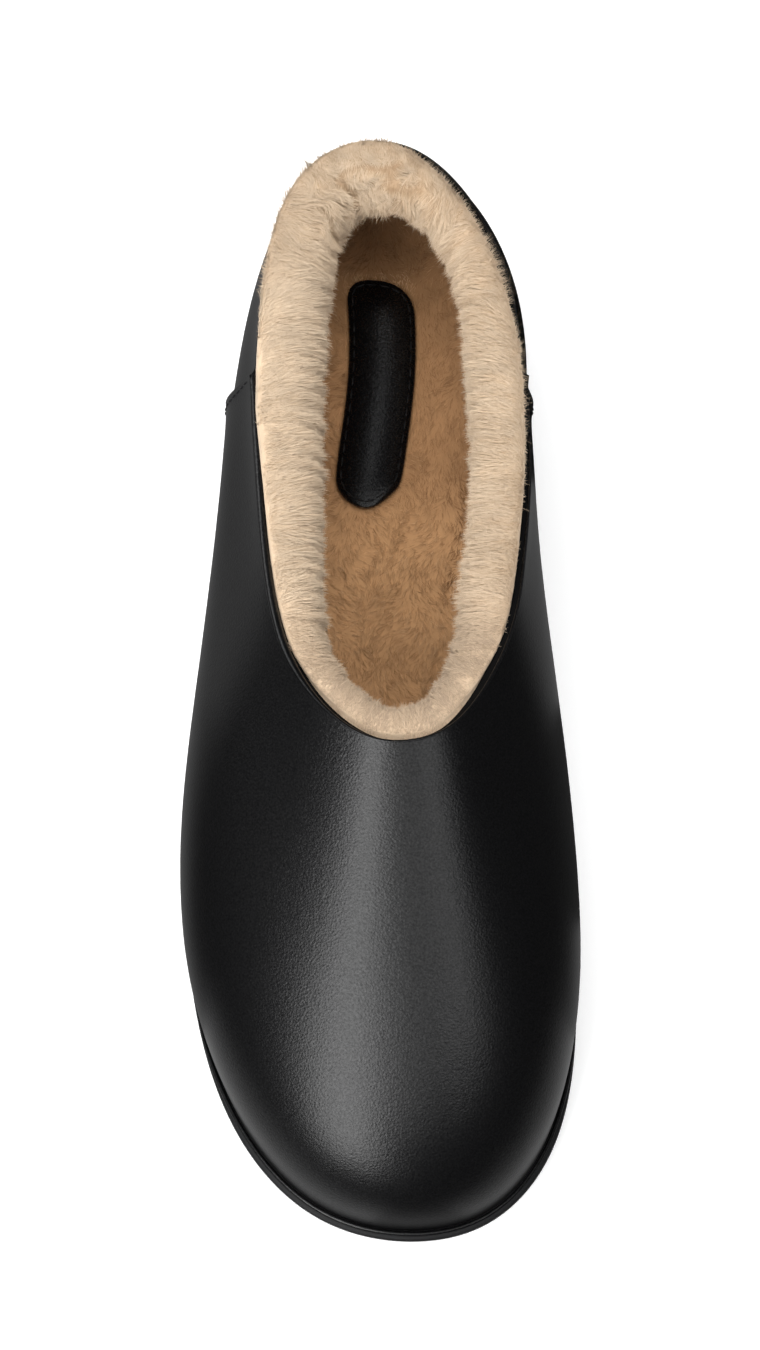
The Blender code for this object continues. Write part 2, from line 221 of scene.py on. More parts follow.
# Upper: smooth black leather, lasted wet over a wooden form and cemented under its edge to the sole.
# The vamp's back edge is folded, lapped over the back piece and sewn down.
# The flesh side is painted black along the top edge, and fine creases gather beside the throat.
def creased(piece, angle, hold):
    """Holds the edges that turn by more than this angle, so that smoothing rounds them less."""
    pick(piece)
    bpy.ops.object.mode_set(mode="EDIT")
    bpy.ops.mesh.select_mode(type="EDGE")
    bpy.ops.mesh.select_all(action="DESELECT")
    bpy.ops.mesh.edges_select_sharp(sharpness=math.radians(angle))
    bpy.ops.transform.edge_crease(value=hold)
    bpy.ops.object.mode_set(mode="OBJECT")


def faces_of(piece):
    """The middles and the normals of the piece's faces."""
    faces = piece.data.polygons
    return np.array([p.center for p in faces]), np.array([p.normal for p in faces])


def put_values(piece, name, values):
    """Stores a value for each vertex, which the piece's finish reads by this name."""
    piece.data.attributes.new(name, "FLOAT", "POINT").data.foreach_set("value", values.astype(np.float32))


mouth_x, mouth_front, mouth_back = 0.0025, -0.004, 0.086


def outward_from_foot(point):
    """Level directions out from the line down the middle of the opening."""
    y = np.clip(point[:, 1], mouth_front, mouth_back)
    flat = np.stack([point[:, 0] - mouth_x, point[:, 1] - y, np.zeros(len(point))], axis=1)
    return flat / np.maximum(np.linalg.norm(flat, axis=1), 1e-12)[:, None]


def turned_out(point, normal):
    """How far each normal points away from the middle of the opening, from -1 to 1."""
    return (normal * outward_from_foot(point)).sum(axis=1)


def leather_finish(name, smoothest, roughest):
    """Black leather with fine pores and an uneven gloss, creased where it is gathered."""
    finish, tree, shader, place = new_finish(name)
    shader.inputs["Base Color"].default_value = (0.0018, 0.0018, 0.0021, 1)
    pores = tree.nodes.new("ShaderNodeTexVoronoi")
    pores.inputs["Scale"].default_value = 1800
    tree.links.new(place, pores.inputs["Vector"])
    hide = tree.nodes.new("ShaderNodeTexNoise")
    hide.inputs["Scale"].default_value = 2000
    hide.inputs["Detail"].default_value = 3
    tree.links.new(place, hide.inputs["Vector"])
    grain = tree.nodes.new("ShaderNodeMath")
    grain.operation = "ADD"
    tree.links.new(pores.outputs["Distance"], grain.inputs[0])
    tree.links.new(hide.outputs["Fac"], grain.inputs[1])
    polish = tree.nodes.new("ShaderNodeMapRange")
    polish.inputs["To Min"].default_value = smoothest
    polish.inputs["To Max"].default_value = roughest
    tree.links.new(hide.outputs["Fac"], polish.inputs["Value"])
    tree.links.new(polish.outputs["Result"], shader.inputs["Roughness"])
    glint = tree.nodes.new("ShaderNodeMapRange")
    glint.inputs["From Min"].default_value = 0.30
    glint.inputs["From Max"].default_value = 0.70
    glint.inputs["To Min"].default_value = 0.29
    glint.inputs["To Max"].default_value = 0.55
    tree.links.new(hide.outputs["Fac"], glint.inputs["Value"])
    tree.links.new(glint.outputs["Result"], shader.inputs["Specular IOR Level"])
    bump = tree.nodes.new("ShaderNodeBump")
    bump.inputs["Strength"].default_value = 0.30
    bump.inputs["Distance"].default_value = 0.00012
    gather = tree.nodes.new("ShaderNodeAttribute")
    gather.attribute_name = "gather"
    wrinkle = tree.nodes.new("ShaderNodeTexNoise")
    wrinkle.inputs["Scale"].default_value = 850
    wrinkle.inputs["Distortion"].default_value = 1.2
    tree.links.new(place, wrinkle.inputs["Vector"])
    gathered = tree.nodes.new("ShaderNodeMath")
    gathered.operation = "MULTIPLY_ADD"
    tree.links.new(gather.outputs["Fac"], gathered.inputs[0])
    tree.links.new(wrinkle.outputs["Fac"], gathered.inputs[1])
    tree.links.new(grain.outputs["Value"], gathered.inputs[2])
    tree.links.new(gathered.outputs["Value"], bump.inputs["Height"])
    tree.links.new(bump.outputs["Normal"], shader.inputs["Normal"])
    return finish


leather = leather_finish("black_leather", smoothest=0.30, roughest=0.40)
edge_paint, tree, shader, place = new_finish("edge_paint")
shader.inputs["Base Color"].default_value = (0.004, 0.004, 0.0042, 1)
shader.inputs["Specular IOR Level"].default_value = 0.06
shader.inputs["Roughness"].default_value = 0.8

wall_turn = 0.05
paint_rise, paint_low = 0.2, 0.040
edge_round = 0.0006
gather_places = ((-0.012, -0.026), (0.023, -0.024))
gather_reach, gather_strength = 0.008, 3.0
rim_middle_y = 0.045

upper = copy_of("upper", "leather_upper")
upper.data.materials.append(leather)
upper.data.materials.append(edge_paint)
middle, facing = faces_of(upper)
painted = (turned_out(middle, facing) < wall_turn) & (facing[:, 2] > paint_rise) & (middle[:, 2] > paint_low)
for k in np.flatnonzero(painted).tolist():
    upper.data.polygons[k].material_index = 1
creased(upper, angle=50, hold=1.0)
smoothed(upper, levels=2)

middle, facing = faces_of(upper)
outer_face = turned_out(middle, facing) > wall_turn
edge_faces = {}
for p in upper.data.polygons:
    for edge in p.edge_keys:
        edge_faces.setdefault(edge, []).append(p.index)
rim = []
for e in upper.data.edges:
    a, b = edge_faces[e.key]
    paint_sides = upper.data.polygons[a].material_index + upper.data.polygons[b].material_index
    if paint_sides == 1 and (outer_face[a] or outer_face[b]):
        spot = (upper.data.vertices[e.vertices[0]].co + upper.data.vertices[e.vertices[1]].co) / 2
        turn = math.atan2(spot.y - rim_middle_y, spot.x - mouth_x)
        rim.append((turn, *spot, *facing[a if outer_face[a] else b]))

bpy.ops.object.modifier_add(type="BEVEL")
upper.modifiers[-1].limit_method = "ANGLE"
upper.modifiers[-1].angle_limit = math.radians(45)
upper.modifiers[-1].width = edge_round
upper.modifiers[-1].segments = 3
upper.modifiers[-1].harden_normals = True
apply_last(upper)
spots = points_of(upper)
drawn_in = np.zeros(len(spots))
for x, y in gather_places:
    away = (spots[:, 0] - x) ** 2 + (spots[:, 1] - y) ** 2
    drawn_in += gather_strength * np.exp(-away / gather_reach ** 2)
put_values(upper, "gather", drawn_in)
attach(upper, "root")
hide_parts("upper")


# Topline roll: the leather's top edge, skived thin, turned in and cemented down.
# It leaves a fine rounded edge round the collar, which is fullest along the outer side.
def evened(row, times):
    """A closed row of places, each averaged with its neighbours this many times."""
    for _ in range(times):
        row = (np.roll(row, 1, axis=0) + 2 * row + np.roll(row, -1, axis=0)) / 4
    return row


def closed_up(piece):
    """Merges a grid that is bent into a tube along its seams, and turns its faces outwards."""
    pick(piece)
    bpy.ops.object.mode_set(mode="EDIT")
    bpy.ops.mesh.select_all(action="SELECT")
    bpy.ops.mesh.remove_doubles(threshold=0.000001)
    bpy.ops.mesh.normals_make_consistent(inside=False)
    bpy.ops.object.mode_set(mode="OBJECT")
    bpy.ops.object.shade_smooth()


rim_steps, rim_sides = 320, 10
rim_thin, rim_sunk = 0.0004, 0.7
rim_run = (-0.022, -0.006, 0.050, 0.066, 0.080)
rim_swell = (rim_thin, 0.0010, 0.0012, 0.0009, rim_thin)

rim = np.array(sorted(rim))
turns = np.linspace(-math.pi, math.pi, rim_steps, endpoint=False)
rim = np.stack([np.interp(turns, rim[:, 0], rim[:, k], period=2 * math.pi) for k in range(1, 7)], axis=1)
rim = evened(rim, times=3)
rim_radius = np.where(rim[:, 0] > mouth_x, rim_thin, np.interp(rim[:, 1], rim_run, rim_swell))
bpy.ops.mesh.primitive_grid_add(x_subdivisions=rim_steps, y_subdivisions=rim_sides, size=1)
topline_roll = bpy.context.object
topline_roll.name = "topline_roll"
shaped = []
for x, y in points_of(topline_roll)[:, :2].tolist():
    k = round((x + 0.5) * rim_steps) % rim_steps
    out = Vector(rim[k, 3:]).normalized()
    run = Vector(rim[(k + 1) % rim_steps, :3] - rim[k - 1, :3]).normalized()
    rise = out.cross(run).normalized()
    a = 2 * math.pi * round((y + 0.5) * rim_sides) / rim_sides
    radius = float(rim_radius[k])
    shaped.append(Vector(rim[k, :3]) + radius * (out * (math.cos(a) - rim_sunk) + rise * math.sin(a)))
topline_roll.data.vertices.foreach_set("co", np.array(shaped).ravel())
closed_up(topline_roll)
topline_roll.data.materials.append(leather)
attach(topline_roll, "root")


# Lip bead: a thin round strip of black leather, cemented into the corner between the upper and the sole.
# It runs round the toe on the sole's top, and thins out to nothing at both ends.
bead_radius, bead_stand_off = 0.00055, 0.00080
bead_segments, bead_sides = 160, 10
bead_first, bead_last = math.radians(4), math.radians(176)
bead_taper = 0.12
bead_rise = 0.0001
toe_middle = Vector((0.004, -0.072, 0))
toe_reach, toe_near, toe_step = 0.15, 0.06, 0.0003
lip_level, lip_inset, wall_foot = 0.8, 0.0018, 0.0016
cast_height = 0.06
upper_tree = surface_of(upper)


def lip_place(turn):
    """The bead's middle, on the sole's top beside the upper's wall, and the way in to the last."""
    way = Vector((math.cos(turn), math.sin(turn), 0))
    start = toe_middle - way * toe_reach
    for step in np.arange(toe_near, toe_reach, toe_step):
        spot = start + way * step
        top = sole_tree.ray_cast(Vector((spot.x, spot.y, cast_height)), Vector((0, 0, -1)))
        if top[0] is not None and top[1].z > lip_level:
            break
    inner = spot + way * lip_inset
    top_z = sole_tree.ray_cast(Vector((inner.x, inner.y, cast_height)), Vector((0, 0, -1)))[0].z
    wall = upper_tree.ray_cast(Vector((start.x, start.y, top_z + wall_foot)), way)[0]
    return Vector((wall.x, wall.y, top_z + bead_rise)) - way * bead_stand_off, way


bpy.ops.mesh.primitive_grid_add(x_subdivisions=bead_segments, y_subdivisions=bead_sides, size=1)
lip_bead = bpy.context.object
lip_bead.name = "sole_lip_bead"
places = [lip_place(turn) for turn in np.linspace(bead_first, bead_last, bead_segments + 1)]
shaped = []
for x, y in points_of(lip_bead)[:, :2].tolist():
    middle, way = places[round((x + 0.5) * bead_segments)]
    radius = bead_radius * min(1.0, (0.5 - abs(x)) / bead_taper) ** 0.5
    a = 2 * math.pi * round((y + 0.5) * bead_sides) / bead_sides
    shaped.append(middle + radius * (way * math.cos(a) + Vector((0, 0, math.sin(a)))))
lip_bead.data.vertices.foreach_set("co", np.array(shaped).ravel())
closed_up(lip_bead)
lip_bead.data.materials.append(leather)
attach(lip_bead, "root")


# Side seams: a row of black thread on each side, sewn through the vamp's folded edge and the back piece.
# One stitch is modelled, and its copies lie half sunk in the leather along the seam.
stitch_length, stitch_pitch, stitch_radius = 0.0026, 0.0034, 0.00024
stitch_rise = 0.2
seam_back, seam_inset = 0.0694, 0.0024
seam_low, seam_high = 0.0275, 0.0635
seam_probe, seam_far = 0.001, 0.09
thread, tree, shader, place = new_finish("black_thread")
shader.inputs["Base Color"].default_value = (0.005, 0.005, 0.0055, 1)
shader.inputs["Roughness"].default_value = 0.6
twist = tree.nodes.new("ShaderNodeTexWave")
twist.inputs["Scale"].default_value = 900
tree.links.new(place, twist.inputs["Vector"])
bump = tree.nodes.new("ShaderNodeBump")
bump.inputs["Strength"].default_value = 0.5
bump.inputs["Distance"].default_value = 0.0001
tree.links.new(twist.outputs["Fac"], bump.inputs["Height"])
tree.links.new(bump.outputs["Normal"], shader.inputs["Normal"])


def sewn_row(name, places):
    """A row of stitches as one mesh, with a stitch at each place along its run."""
    bpy.ops.mesh.primitive_uv_sphere_add(segments=8, ring_count=6, radius=1)
    stitch = bpy.context.object
    spots = points_of(stitch) * (stitch_radius, stitch_radius, stitch_length / 2)
    faces = [tuple(p.vertices) for p in stitch.data.polygons]
    bpy.data.objects.remove(stitch)
    corners, joined = [], []
    for point, run, normal in places:
        side = normal.cross(run).normalized()
        turn = np.array(Matrix((side, normal, run)).transposed())
        joined += [tuple(k + len(corners) * len(spots) for k in face) for face in faces]
        corners.append(spots @ turn.T + np.array(point + normal * stitch_radius * stitch_rise))
    mesh = bpy.data.meshes.new(name)
    mesh.from_pydata(np.concatenate(corners).tolist(), [], joined)
    row = bpy.data.objects.new(name, mesh)
    scene.collection.objects.link(row)
    pick(row)
    bpy.ops.object.shade_smooth()
    row.data.materials.append(thread)
    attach(row, "root")


for side, name in ((-1, "outer_seam_stitches"), (1, "inner_seam_stitches")):
    places = []
    for z in np.arange(seam_low, seam_high, stitch_pitch):
        hits = []
        for height in (z - seam_probe, z, z + seam_probe):
            start = Vector((side * seam_far, seam_back - seam_inset, height))
            hits.append(upper_tree.ray_cast(start, Vector((-side, 0, 0))))
        run = (hits[2][0] - hits[0][0]).normalized()
        places.append((hits[1][0], run, hits[1][1]))
    sewn_row(name, places)


# Insole: a board covered in short tan sheepskin, which lies on the sole inside the upper.
# It is painted darker under the heel, as the shade where the collar keeps the light off it.
def pile_finish(name, shades, sheen):
    """Wool whose colour follows each strand's own attribute, a little uneven from lock to lock."""
    finish, tree, shader, place = new_finish(name)
    strand = tree.nodes.new("ShaderNodeAttribute")
    strand.attribute_name = "strand"
    ramp = tree.nodes.new("ShaderNodeValToRGB")
    ramp.color_ramp.elements[0].color = (*shades[0], 1)
    ramp.color_ramp.elements[1].color = (*shades[-1], 1)
    for k, colour in enumerate(shades[1:-1], 1):
        ramp.color_ramp.elements.new(k / (len(shades) - 1)).color = (*colour, 1)
    tree.links.new(strand.outputs["Fac"], ramp.inputs["Fac"])
    uneven = tree.nodes.new("ShaderNodeTexNoise")
    uneven.inputs["Scale"].default_value = 110
    uneven.inputs["Detail"].default_value = 4
    tree.links.new(place, uneven.inputs["Vector"])
    tone = tree.nodes.new("ShaderNodeMapRange")
    tone.inputs["From Min"].default_value = 0.3
    tone.inputs["From Max"].default_value = 0.7
    tone.inputs["To Min"].default_value = 0.90
    tone.inputs["To Max"].default_value = 1.04
    tree.links.new(uneven.outputs["Fac"], tone.inputs["Value"])
    dyed = tree.nodes.new("ShaderNodeMix")
    dyed.data_type = "RGBA"
    dyed.blend_type = "MULTIPLY"
    dyed.inputs["Factor"].default_value = 1
    tree.links.new(ramp.outputs["Color"], dyed.inputs["A"])
    tree.links.new(tone.outputs["Result"], dyed.inputs["B"])
    tree.links.new(dyed.outputs["Result"], shader.inputs["Base Color"])
    shader.inputs["Roughness"].default_value = 0.9
    shader.inputs["Specular IOR Level"].default_value = 0.1
    shader.inputs["Sheen Weight"].default_value = sheen
    shader.inputs["Sheen Roughness"].default_value = 0.6
    return finish


skin_tone = 0.5
heel_start, heel_fade, heel_gloom = 0.036, 0.02, 0.34


def under_heel(y):
    """How far a place lies in the gloom under the heel, from 0 to 1."""
    return np.clip((y - heel_start) / heel_fade, 0, 1)


trodden_shades = ((0.27, 0.140, 0.064), (0.54, 0.305, 0.146), (0.72, 0.455, 0.250))
insole_wool = pile_finish("trodden_wool", trodden_shades, sheen=0.05)
insole = copy_of("insole", "covered_insole")
smoothed(insole, levels=1)
put_values(insole, "strand", skin_tone - heel_gloom * under_heel(points_of(insole)[:, 1]))
insole.data.materials.append(insole_wool)
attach(insole, "root")
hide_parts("insole")


# Insole pile: the short wool of the insole's sheepskin, trodden flat and leaning towards the toe.
# It is worn pale just behind the heel pad, and has a painted shadow beside the inner wall, under the
# overhanging wool.
def unit(vectors):
    return vectors / np.maximum(np.linalg.norm(vectors, axis=1), 1e-12)[:, None]


def surface_points(piece, count, weigh, seed):
    """Points spread over a piece's faces by the weights that weigh gives, with smooth normals."""
    mesh = piece.data
    mesh.calc_loop_triangles()
    corners = points_of(piece)
    triangles = np.array([t.vertices for t in mesh.loop_triangles])
    a, b, c = (corners[triangles[:, k]] for k in range(3))
    cross = np.cross(b - a, c - a)
    area = np.linalg.norm(cross, axis=1)
    weight = area * weigh((a + b + c) / 3, cross / np.maximum(area, 1e-12)[:, None])
    draw = np.random.default_rng(seed)
    chosen = draw.choice(len(triangles), count, p=weight / weight.sum())
    s, t = draw.random((count, 1)), draw.random((count, 1))
    over = s + t > 1
    s[over], t[over] = 1 - s[over], 1 - t[over]
    smooth = np.zeros_like(corners)
    for k in range(3):
        np.add.at(smooth, triangles[:, k], cross)
    smooth = unit(smooth)
    na, nb, nc = (smooth[triangles[chosen, k]] for k in range(3))
    point = a[chosen] + (b - a)[chosen] * s + (c - a)[chosen] * t
    return point, unit(na + (nb - na) * s + (nc - na) * t), draw


def waves(point, size, seed):
    """A smooth uneven field, about -1 to 1, whose waves are about this long."""
    turn = np.random.default_rng(seed)
    total = np.zeros(len(point))
    for _ in range(7):
        way = unit(turn.normal(size=(1, 3)))[0]
        share = turn.uniform(0.7, 1.5)
        total += np.sin(point @ way * 2 * math.pi / (size * share) + turn.uniform(0, 2 * math.pi))
    return (total / 2.6)[:, None]


side_shade, tip_shade = 0.45, 0.35


def pile_mesh(name, root, tip, normal, width, tone, rise=0.0, ends=(0.32, 0.72)):
    """One mesh of straight tapered strands, closed at the root, shaded as the skin that they grow from.

    The shading is turned upwards by rise, as wool lets the light from above through."""
    count = len(root)
    run = unit(tip - root)
    across = unit(np.cross(run, normal))
    other = np.cross(run, across)
    spokes = [across * math.cos(a) + other * math.sin(a) for a in (0, 2 * math.pi / 3, 4 * math.pi / 3)]
    corners = np.stack([root + s * width for s in spokes] + [tip], axis=1).reshape(-1, 3)
    pattern = np.array([(0, 1, 3), (1, 2, 3), (2, 0, 3), (2, 1, 0)])
    faces = (pattern[None] + 4 * np.arange(count)[:, None, None]).reshape(-1, 3)
    mesh = bpy.data.meshes.new(name)
    mesh.vertices.add(len(corners))
    mesh.vertices.foreach_set("co", corners.astype(np.float32).ravel())
    mesh.loops.add(faces.size)
    mesh.loops.foreach_set("vertex_index", faces.astype(np.int32).ravel())
    mesh.polygons.add(len(faces))
    mesh.polygons.foreach_set("loop_start", np.arange(0, faces.size, 3, dtype=np.int32))
    mesh.update(calc_edges=True)
    mesh.shade_smooth()
    skin = unit(normal + rise * np.array([0, 0, 1.0]))
    facing = [unit(skin + side_shade * s) for s in spokes] + [unit(skin + tip_shade * run)]
    mesh.normals_split_custom_set_from_vertices(np.stack(facing, axis=1).reshape(-1, 3))
    piece = bpy.data.objects.new(name, mesh)
    scene.collection.objects.link(piece)
    share = np.tile([ends[0]] * 3 + [ends[1]], count) + np.repeat(tone, 4)
    put_values(piece, "strand", np.clip(share, 0, 1))
    return piece


open_from, covered_share = -0.035, 0.12
root_sink = 0.0002
trodden_count = 42000
trodden_lift = 20
trodden_short, trodden_long = 0.0014, 0.0030
trodden_fine, trodden_thick = 0.00008, 0.00013
worn_before, worn_after, worn_half, worn_tone = 0.006, 0.0035, 0.009, 0.80
worn_rise, worn_fall = 0.004, 0.002
shadow_run = (0.0235, 0.0313, 0.0405, 0.0483, 0.0575)
shadow_line = (0.0165, 0.0186, 0.0198, 0.0200, 0.0208)
shadow_first, shadow_last, shadow_rise, shadow_fall = 0.024, 0.056, 0.004, 0.006
shadow_shift, shadow_width, shadow_tone = 0.0003, 0.0012, 0.60


def open_floor(middle, normal):
    """Weights for the insole's top, fewer under the vamp."""
    return np.where(normal[:, 2] > 0.5, 1.0, 0.0) * np.where(middle[:, 1] > open_from, 1.0, covered_share)


point, normal, draw = surface_points(insole, trodden_count, open_floor, seed=5)
count = len(point)

# Each strand leans towards the toe, turned a little this way and that.
turn = 0.9 * waves(point, size=0.022, seed=31) + 0.4 * waves(point, size=0.006, seed=32)
turn += draw.normal(0, 0.35, (count, 1))
lay = np.concatenate([np.sin(turn), -np.cos(turn), np.zeros((count, 1))], axis=1)
lift = np.radians(trodden_lift + 9 * waves(point, size=0.004, seed=33)) + draw.normal(0, 0.15, (count, 1))
length = draw.uniform(trodden_short, trodden_long, (count, 1))
root = point - normal * root_sink
tip = root + (lay * np.cos(lift) + normal * np.sin(lift)) * length

# It is paler behind the pad, with painted shade under the heel and a painted shadow along the inner wall.
tone = draw.normal(0, 0.13, count) + 0.08 * waves(point, size=0.004, seed=34)[:, 0]
tone += 0.05 * waves(point, size=0.020, seed=35)[:, 0]
pad_low, pad_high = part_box("heel_pad")
worn = np.clip((point[:, 1] - pad_high[1] + worn_before) / worn_rise, 0, 1)
worn *= np.clip((pad_high[1] + worn_after - point[:, 1]) / worn_fall, 0, 1)
worn *= np.exp(-((point[:, 0] - (pad_low[0] + pad_high[0]) / 2) / worn_half) ** 4)
tone += worn_tone * worn - heel_gloom * under_heel(point[:, 1])
# A narrow painted shadow beside the inner wall, where the collar's wool hangs over the insole.
shadow_x = np.interp(point[:, 1], shadow_run, shadow_line)
painted_shadow = np.exp(-((point[:, 0] - shadow_x + shadow_shift) / shadow_width) ** 2)
painted_shadow *= (np.clip((point[:, 1] - shadow_first) / shadow_rise, 0, 1)
          * np.clip((shadow_last - point[:, 1]) / shadow_fall, 0, 1))
tone -= shadow_tone * painted_shadow
width = draw.uniform(trodden_fine, trodden_thick, (count, 1))
insole_pile = pile_mesh("insole_pile", root, tip, normal, width, tone, ends=(0.40, 0.62))
insole_pile.data.materials.append(insole_wool)
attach(insole_pile, "root")


# Heel pad: a strip of black leather over thin foam, with round ends, sewn down on the heel of the insole.
# Its face is bare, softly domed from the foam and polished a little more than the upper.
pad = copy_of("heel_pad", "heel_pad_leather")
pad_edge = set()
for p in pad.data.polygons:
    if abs(p.normal.z) < 0.5:
        pad_edge.update(tuple(pad.data.vertices[k].co[:2]) for k in p.vertices)
smoothed(pad, levels=2)
pad.data.materials.append(leather_finish("pad_leather", smoothest=0.23, roughest=0.31))
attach(pad, "root")
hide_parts("heel_pad")


# Pad stitches: one row of the same black thread, a little inside the pad's edge.
# It goes through the pad and the insole's cover, and follows the pad's outline all the way round.
sewn_inset, sewn_parts = 0.00135, 4
above_pad = 0.2
pad_middle = (Vector(pad_low) + Vector(pad_high)) / 2
pad_edge = sorted(pad_edge, key=lambda spot: math.atan2(spot[1] - pad_middle.y, spot[0] - pad_middle.x))
pad_edge = np.array(pad_edge + pad_edge[:1])
lap = np.concatenate([[0], np.cumsum(np.linalg.norm(np.diff(pad_edge, axis=0), axis=1))])
along = np.linspace(0, lap[-1], sewn_parts * round(lap[-1] / stitch_pitch), endpoint=False)
sewn = evened(np.stack([np.interp(along, lap, pad_edge[:, k]) for k in range(2)], axis=1), times=6)
run = unit(np.roll(sewn, -1, axis=0) - np.roll(sewn, 1, axis=0))
sewn += sewn_inset * np.stack([-run[:, 1], run[:, 0]], axis=1)
pad_tree = surface_of(pad)
places = []
for k in range(0, len(sewn), sewn_parts):
    hit = pad_tree.ray_cast(Vector((*sewn[k], above_pad)), Vector((0, 0, -1)))
    way = Vector((*run[k], 0))
    places.append((hit[0], (way - hit[1] * way.dot(hit[1])).normalized(), hit[1]))
sewn_row("pad_stitches", places)


# Shearling: sheepskin with its wool inwards, inside the whole upper, its edge rolled up over the topline.
# This is the skin with the dense part of the wool. It is pressed hollow below the roll, and the roll
# spreads outwards as far as the leather leaves room.
root_depth = 0.0009
hollow_low, hollow_fade = 0.040, 0.018
inner_run = (-0.016, -0.004, 0.008, 0.030, 0.092, 0.112)
inner_hollow = (0, 0, 0.0010, 0.0030, 0.0030, 0.0005)
outer_run = (-0.016, 0.0, 0.030, 0.050, 0.072, 0.112)
outer_hollow = (0, 0.0018, 0.0033, 0.0025, 0.0005, 0.0005)
roll_spread, wall_gap = 0.0015, 0.0004
spread_front, spread_rise = -0.016, 0.014
spread_x, spread_half = 0.002, 0.015
inner_spread_end, outer_spread_end, spread_fade = 0.092, 0.078, 0.02
shade_top, shade_fade, shade_gloom = 0.066, 0.022, 0.34
whorl_x, whorl_half = -0.002, 0.013
whorl_y, whorl_fade, whorl_gloom = 0.092, 0.015, 0.5


def in_shade(point, outside):
    """How far wool on the inner wall lies in the gloom below the collar, from 0 to 1."""
    return np.clip((shade_top - point[:, 2]) / shade_fade, 0, 1) * (outside[:, 0] < -0.2)


def whorl_at(point, outside):
    """How much the wool whorls: most on the roll's top at the middle of the back."""
    share = np.exp(-((point[:, :1] - whorl_x) / whorl_half) ** 2)
    share *= np.clip((point[:, 1:2] - whorl_y) / whorl_fade, 0, 1)
    return share * np.clip(1 - 3 * np.clip(outside, 0, 1), 0, 1)


deep_shades = ((0.45, 0.31, 0.19), (0.62, 0.47, 0.325), (0.72, 0.575, 0.42))
collar_wool = pile_finish("deep_wool", deep_shades, sheen=0.1)
wool_body = copy_of("shearling_lining", "shearling_body")
smoothed(wool_body, levels=1)
spots = points_of(wool_body)
facing = np.array([v.normal for v in wool_body.data.vertices])
outside = turned_out(spots, facing)[:, None]
outer_share = np.clip(outside, 0, 1)
hollow = np.clip(-outside, 0, 1) * np.clip((spots[:, 2:] - hollow_low) / hollow_fade, 0, 1)
hollow *= np.where(spots[:, :1] > mouth_x, np.interp(spots[:, 1:2], inner_run, inner_hollow),
                   np.interp(spots[:, 1:2], outer_run, outer_hollow))
spots -= facing * (root_depth * (1 - outer_share) + hollow)
inner_spread = np.clip((spots[:, 0] - spread_x) / spread_half, 0, 1)
inner_spread *= np.clip((inner_spread_end - spots[:, 1]) / spread_fade, 0, 1)
outer_spread = np.clip((outer_spread_end - spots[:, 1]) / spread_fade, 0, 1)
spread = roll_spread * np.where(spots[:, 0] > 0, inner_spread, outer_spread)
spread *= (np.clip((spots[:, 1] - spread_front) / spread_rise, 0, 1)
           * (facing[:, 2] > -0.3) * outer_share[:, 0])
for k in np.flatnonzero(spread):
    way = Vector(outward_from_foot(spots[k:k + 1])[0])
    wall = upper_tree.ray_cast(Vector(spots[k]), way, spread[k] + wall_gap)
    room = spread[k] if wall[0] is None else max(0.0, wall[3] - wall_gap)
    spots[k] += np.array(way) * room
wool_body.data.vertices.foreach_set("co", spots.ravel())
wool_body.data.update()
# Painted shade darkens the skin on the inner wall below the collar and in the whorl, where it shows through
# the partings.
gloom = shade_gloom * in_shade(spots, outside)
put_values(wool_body, "strand", skin_tone - gloom - whorl_gloom * whorl_at(spots, outside)[:, 0])
wool_body.data.materials.append(collar_wool)
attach(wool_body, "root")
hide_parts("shearling_lining")


# Collar pile: the deep, soft, evenly shorn wool that stands on the skin and lies inwards over the roll.
# It lies in locks, turns in a whorl with partings at the middle of the back, and is painted paler on the
# outer side as light.
collar_count = 136000
near_wall, far_wall = 0.0006, 0.0030
steep_front, steep_outer, steep_inner, steep_run = -0.1, 0.2, 0.4, (-0.020, -0.008)
least_outer, least_inner = 0.32, 0.12
toe_limit, toe_fade = -0.040, 0.01
deep_low, deep_fade, deep_share = 0.040, 0.022, 0.25
hanging, hanging_share = -0.5, 0.05
clear_from = 0.02
clear_run, clear_room = (0.038, 0.044, 0.074, 0.080), (0.0020, 0.0030, 0.0030, 0.0020)
lock_reach, lock_height = 0.025, 0.15
front_from, front_fade, front_gloom = 0.010, 0.02, 0.38
painted_light_fade, outer_painted_light = 0.010, 0.20
fringe_start, fringe_fade, fringe_share = 0.030, 0.020, 0.5
back_fringe_start, back_fringe_share = 0.085, 0.08
parting_size, parting_seed, parting_half, parting_sweep = 0.009, 6, 0.28, 0.7
slope_step = 0.0001
collar_lift, collar_length = 18, 0.0044
collar_fine, collar_thick = 0.00009, 0.00016
wool_rise = 0.6
front_end, back_start = 0.015, 0.082


def wool_side(middle, normal):
    """Weights for the wool's own side, most near the collar, and none where the leather covers it."""
    steep = np.where(middle[:, 0] < 0, np.where(middle[:, 1] < 0, steep_front, steep_outer),
                     np.interp(middle[:, 1], steep_run, (steep_front, steep_inner)))
    reach = np.where(normal[:, 2] > steep, near_wall, far_wall)
    rays = zip(middle, normal, reach)
    free = [upper_tree.ray_cast(Vector(m), Vector(n), r)[0] is None for m, n, r in rays]
    ahead = np.clip((middle[:, 1] - toe_limit) / toe_fade, 0.0, 1)
    depth = np.clip((middle[:, 2] - deep_low) / deep_fade, deep_share, 1)
    outward = turned_out(middle, normal) > 0
    least = np.where(middle[:, 1] < 0, 0.0, np.where(middle[:, 0] < 0, least_outer, least_inner))
    under = np.where(outward & (normal[:, 2] < least), 0.0, 1.0)
    clear = np.interp(middle[:, 1], clear_run, clear_room)
    for k in np.flatnonzero(outward & (middle[:, 0] < 0) & (middle[:, 1] > clear_from)).tolist():
        under[k] *= upper_tree.find_nearest(Vector(middle[k]))[3] > clear[k]
    return np.array(free) * depth * ahead * under * np.where(normal[:, 2] < hanging, hanging_share, 1)


